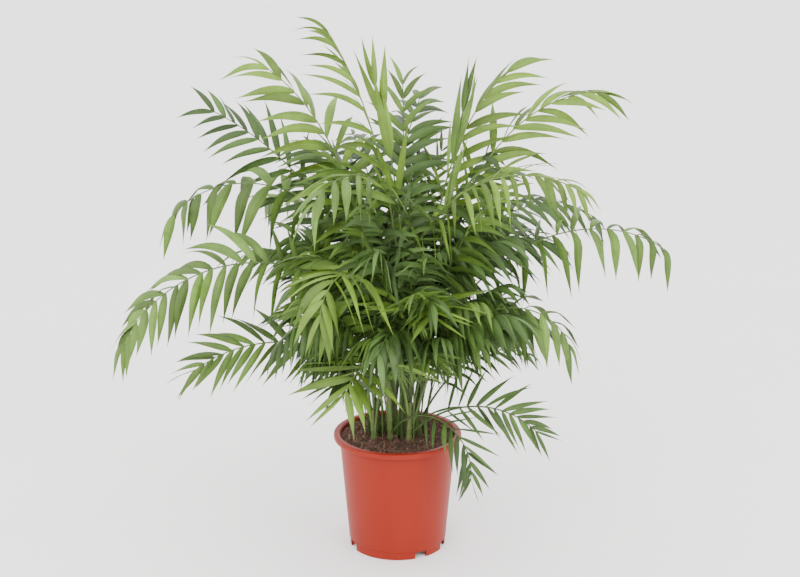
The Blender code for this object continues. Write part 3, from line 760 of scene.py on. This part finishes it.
def potProfile():
    # radius, height, and how far each corner is rounded
    low, rimUnder, wall = pot["footHeight"], pot["height"] - pot["rimSkirt"], pot["wall"]
    foot, top, rim, disc = pot["footRadius"], pot["bodyTopRadius"], pot["rimRadius"], pot["discRadius"]
    return [
        (0, 0, 0),
        (disc, 0, 0.001),
        (disc + 0.004, low, 0.001),
        (foot - wall - 0.0012, low, 0.001),
        (foot - wall - 0.0015, 0, 0.0004),
        (foot - 0.0015, 0, 0.0006),
        (foot - 0.0012, low, 0.0004),
        (foot, low + 0.001, 0.0006),
        (foot + 0.86 * (top - foot), rimUnder - 0.030, 0),
        (top, rimUnder - 0.001, 0.001),
        (top + 0.0015, rimUnder + 0.0055, 0.001),
        (rim - wall - 0.001, rimUnder + 0.0065, 0.0008),
        (rim - wall - 0.001, rimUnder, 0.0006),
        (rim - 0.001, rimUnder, 0.0008),
        (rim, rimUnder + 0.003, 0.0012),
        (rim - 0.0004, pot["height"] - 0.002, 0.001),
        (rim - 0.0022, pot["height"], 0.0012),
        (top - wall + 0.003, pot["height"], 0.0012),
        (top - wall + 0.001, pot["height"] - 0.003, 0.0012),
        (foot - wall, low + wall, 0.003),
        (disc + 0.0025, low + wall, 0.002),
        (disc - 0.0015, wall, 0.002),
        (0, wall, 0),
    ]


def rounded(profile, steps=4):
    found = []
    for i, (radius, height, size) in enumerate(profile):
        here = Vector((radius, height))
        if size == 0:
            found.append(here)
            continue
        before = Vector(profile[i - 1][:2]) - here
        after = Vector(profile[i + 1][:2]) - here
        a = here + before.normalized() * min(size, before.length * 0.45)
        b = here + after.normalized() * min(size, after.length * 0.45)
        for k in range(steps + 1):
            t = k / steps
            found.append(a.lerp(here, t).lerp(here.lerp(b, t), t))
    return found


def inNotch(angle):
    half = math.degrees(pot["notchWidth"] / 2 / pot["footRadius"])
    return any(abs((angle - middle + 180) % 360 - 180) < half for middle in pot["notchAngles"])


def makePot(material):
    half = math.degrees(pot["notchWidth"] / 2 / pot["footRadius"])
    angles = {360 * i / pot["sides"] for i in range(pot["sides"])}
    edges = {(m + s * (half + e)) % 360 for m in pot["notchAngles"] for s in (-1, 1) for e in (-0.15, 0.15)}
    angles = sorted({a for a in angles if all(abs(a - e) > 0.6 for e in edges)} | edges)
    footInside = pot["footRadius"] - pot["wall"] - 0.003
    build = bmesh.new()
    rings = []
    for radius, height in rounded(potProfile()):
        if radius == 0:
            rings.append([build.verts.new((0, 0, height))])
            continue
        ring = []
        for angle in angles:
            cut = radius > footInside and height < pot["footHeight"] - 0.001 and inNotch(angle)
            level = pot["footHeight"] - pot["notchStop"] if cut else height
            ring.append(build.verts.new(direction(angle, 0) * radius + up * level))
        rings.append(ring)
    for low, high in zip(rings, rings[1:]):
        for i in range(len(angles)):
            j = (i + 1) % len(angles)
            corners = [low[i % len(low)], low[j % len(low)], high[j % len(high)], high[i % len(high)]]
            build.faces.new(list(dict.fromkeys(corners)))
    bmesh.ops.recalc_face_normals(build, faces=build.faces)
    mesh = bpy.data.meshes.new("potShell")
    build.to_mesh(mesh)
    build.free()
    mesh.shade_smooth()
    mesh.set_sharp_from_angle(angle=math.radians(40))
    mesh.materials.append(material)
    return placeMesh("potShell", mesh)


values = {
    "Colour": (0.205, 0.0135, 0.0055, 1),
    "Second Colour": (0.23, 0.019, 0.008, 1),
    "Scale": 9.0,
    "Share": 0.6,
    "Stretch": (1, 1, 0.35),
}
gloss = {"Roughness": 0.45, "Specular_IOR_Level": 0.15}
potMaterial = newMaterial("pottedClayPlastic", mottle, values, (0.12, 0.0004), **gloss)
finishPiece(makePot(potMaterial), ["pot"])

# soil: a rough bed with chips of bark on it
soil = {
    "top": 0.2145,
    "edgeRadius": 0.1048,
    "mound": 0.0055,
    "rough": 0.0035,
    "lowest": 0.002,  # the deepest hollow
    "skirt": 0.004,
    "rings": 46,
    "spokes": 120,
}


def makeBed(material):
    build = bmesh.new()
    rings = [[build.verts.new((0, 0, soil["top"] + soil["mound"]))]]
    for k in range(1, soil["rings"] + 1):
        share = k / soil["rings"]
        ring = []
        for i in range(soil["spokes"]):
            flat = direction(360 * i / soil["spokes"], 0) * soil["edgeRadius"] * share
            rough = noise.noise(flat * 90) + 0.6 * noise.noise(flat * 260)
            height = soil["top"] + soil["mound"] * (1 - share**2)
            height += soil["rough"] * rough * min(1, 3 - 2.4 * share)
            ring.append(build.verts.new(flat + up * max(height, soil["top"] - soil["lowest"])))
        rings.append(ring)
    floor = soil["top"] - soil["skirt"]
    rings.append([build.verts.new(v.co.xy.to_3d() + up * floor) for v in rings[-1]])
    rings.append([build.verts.new((0, 0, floor))])
    for low, high in zip(rings, rings[1:]):
        for i in range(soil["spokes"]):
            j = (i + 1) % soil["spokes"]
            corners = [low[i % len(low)], low[j % len(low)], high[j % len(high)], high[i % len(high)]]
            build.faces.new(list(dict.fromkeys(corners)))
    bmesh.ops.recalc_face_normals(build, faces=build.faces)
    mesh = bpy.data.meshes.new("soilBed")
    build.to_mesh(mesh)
    build.free()
    mesh.shade_smooth()
    mesh.materials.append(material)
    return placeMesh("soilBed", mesh)


def buildChipTree():
    # bark chips scattered over the top of a bed
    inputs = [("Geometry", "Geometry", None), ("Density", "Float", 60000.0)]
    inputs += [("Smallest", "Vector", (0.001, 0.001, 0.001)), ("Largest", "Vector", (0.006, 0.003, 0.002))]
    inputs += [("Seed", "Int", 4), ("Finish", "Material", None)]
    tree, given, result = newTree("barkChips", "GeometryNodeTree", inputs, [("Geometry", "Geometry")])
    normal = tree.nodes.new("GeometryNodeInputNormal").outputs[0]
    parts = addNode(tree, "ShaderNodeSeparateXYZ", {"Vector": normal}).outputs
    isTop = calc(tree, "GREATER_THAN", parts["Z"], 0.3)
    values = {"Mesh": given["Geometry"], "Selection": isTop}
    values |= {"Density": given["Density"], "Seed": given["Seed"]}
    points = addNode(tree, "GeometryNodeDistributePointsOnFaces", values).outputs["Points"]
    anyTurn = {"Min": (0, 0, 0), "Max": (6.28, 6.28, 6.28)}
    turn = addNode(tree, "FunctionNodeRandomValue", anyTurn, data_type="FLOAT_VECTOR")
    size = addNode(tree, "FunctionNodeRandomValue", data_type="FLOAT_VECTOR")
    link(tree, given["Smallest"], size.inputs["Min"])
    link(tree, given["Largest"], size.inputs["Max"])
    link(tree, given["Seed"], size.inputs["Seed"])
    chip = addNode(tree, "GeometryNodeMeshIcoSphere", {"Radius": 1.0, "Subdivisions": 1}).outputs["Mesh"]
    values = {"Points": points, "Instance": chip, "Rotation": turn.outputs[0], "Scale": size.outputs[0]}
    spread = addNode(tree, "GeometryNodeInstanceOnPoints", values).outputs[0]
    real = addNode(tree, "GeometryNodeRealizeInstances", {"Geometry": spread}).outputs[0]
    bumps = addNode(tree, "ShaderNodeTexNoise", {"Scale": 400.0, "Detail": 1.0}).outputs["Color"]
    shift = vectorCalc(tree, "SCALE", vectorCalc(tree, "SUBTRACT", bumps, (0.5, 0.5, 0.5)), 0.003)
    ragged = addNode(tree, "GeometryNodeSetPosition", {"Geometry": real, "Offset": shift}).outputs[0]
    values = {"Geometry": ragged, "Material": given["Finish"]}
    painted = addNode(tree, "GeometryNodeSetMaterial", values).outputs[0]
    link(tree, painted, result["Geometry"])
    return tree


values = {
    "Colour": (0.075, 0.036, 0.022, 1),
    "Second Colour": (0.022, 0.012, 0.008, 1),
    "Scale": 70.0,
    "Share": 0.9,
}
soilMaterial = newMaterial("darkPeat", mottle, values, (0.8, 0.001), Roughness=0.95)
bed = makeBed(soilMaterial)
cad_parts["soil"].data.materials.clear()
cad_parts["soil"].data.materials.append(soilMaterial)
chipTree = buildChipTree()
for label, seed, density, colours in [
    ("barkChipsBrown", 4, 52000.0, ((0.115, 0.050, 0.030, 1), (0.045, 0.022, 0.014, 1))),
    ("barkChipsPale", 9, 7000.0, ((0.22, 0.125, 0.075, 1), (0.12, 0.062, 0.036, 1))),
]:
    values = {"Colour": colours[0], "Second Colour": colours[1], "Scale": 60.0, "Share": 1.0}
    chipMaterial = newMaterial(label + "Finish", mottle, values, (0.5, 0.0006), Roughness=0.9)
    values = {"Seed": seed, "Density": density, "Finish": chipMaterial}
    finishPiece(runTree(label, bed.data.copy(), chipTree, values))
finishPiece(bed)


# stage: a wide pale floor, even light from all round and the photograph's camera
stage = {
    "half": 14.0,
    "cells": 8,
    "colour": (0.88, 0.865, 0.855, 1),
    "secondColour": (0.85, 0.835, 0.825, 1),
    "daylight": 3.0,
}
view = {"sensor": 36, "lens": 76.94, "place": (0.0046, -3.0, 1.3834), "down": 0.28603}  # fitted to the rim


def makeStage():
    build = bmesh.new()
    bmesh.ops.create_grid(build, x_segments=stage["cells"], y_segments=stage["cells"], size=stage["half"])
    mesh = bpy.data.meshes.new("paleFloor")
    build.to_mesh(mesh)
    build.free()
    values = {"Colour": stage["colour"], "Second Colour": stage["secondColour"], "Scale": 3.0, "Share": 0.5}
    mesh.materials.append(newMaterial("palePaper", mottle, values, (0.02, 0.001), Roughness=0.85))
    placeMesh("paleFloor", mesh)


def addLight(name, place, target, size, energy):
    light = bpy.data.lights.new(name, "AREA")
    light.shape = "DISK"
    light.size = size
    light.energy = energy
    lamp = bpy.data.objects.new(name, light)
    bpy.context.scene.collection.objects.link(lamp)
    lamp.location = place
    lamp.rotation_euler = (Vector(target) - Vector(place)).to_track_quat("-Z", "Y").to_euler()


makeStage()
addLight("softKey", (-1.2, -2.8, 2.6), (0, 0, 0.5), 1.2, 60)
addLight("softFill", (2.2, -2.3, 1.9), (0, 0, 0.5), 1.2, 30)
world = bpy.data.worlds.new("softRoom")
world.use_nodes = True
world.node_tree.nodes["Background"].inputs["Color"].default_value = (1.0, 1.0, 1.0, 1)
world.node_tree.nodes["Background"].inputs["Strength"].default_value = stage["daylight"]
bpy.context.scene.world = world

cameraData = bpy.data.cameras.new("photoCamera")
cameraData.sensor_width = view["sensor"]
cameraData.lens = view["lens"]
camera = bpy.data.objects.new("photoCamera", cameraData)
bpy.context.scene.collection.objects.link(camera)
camera.location = view["place"]
camera.rotation_euler = (math.pi / 2 - view["down"], 0, 0)
bpy.context.scene.camera = camera
print("stage, lights and camera set")
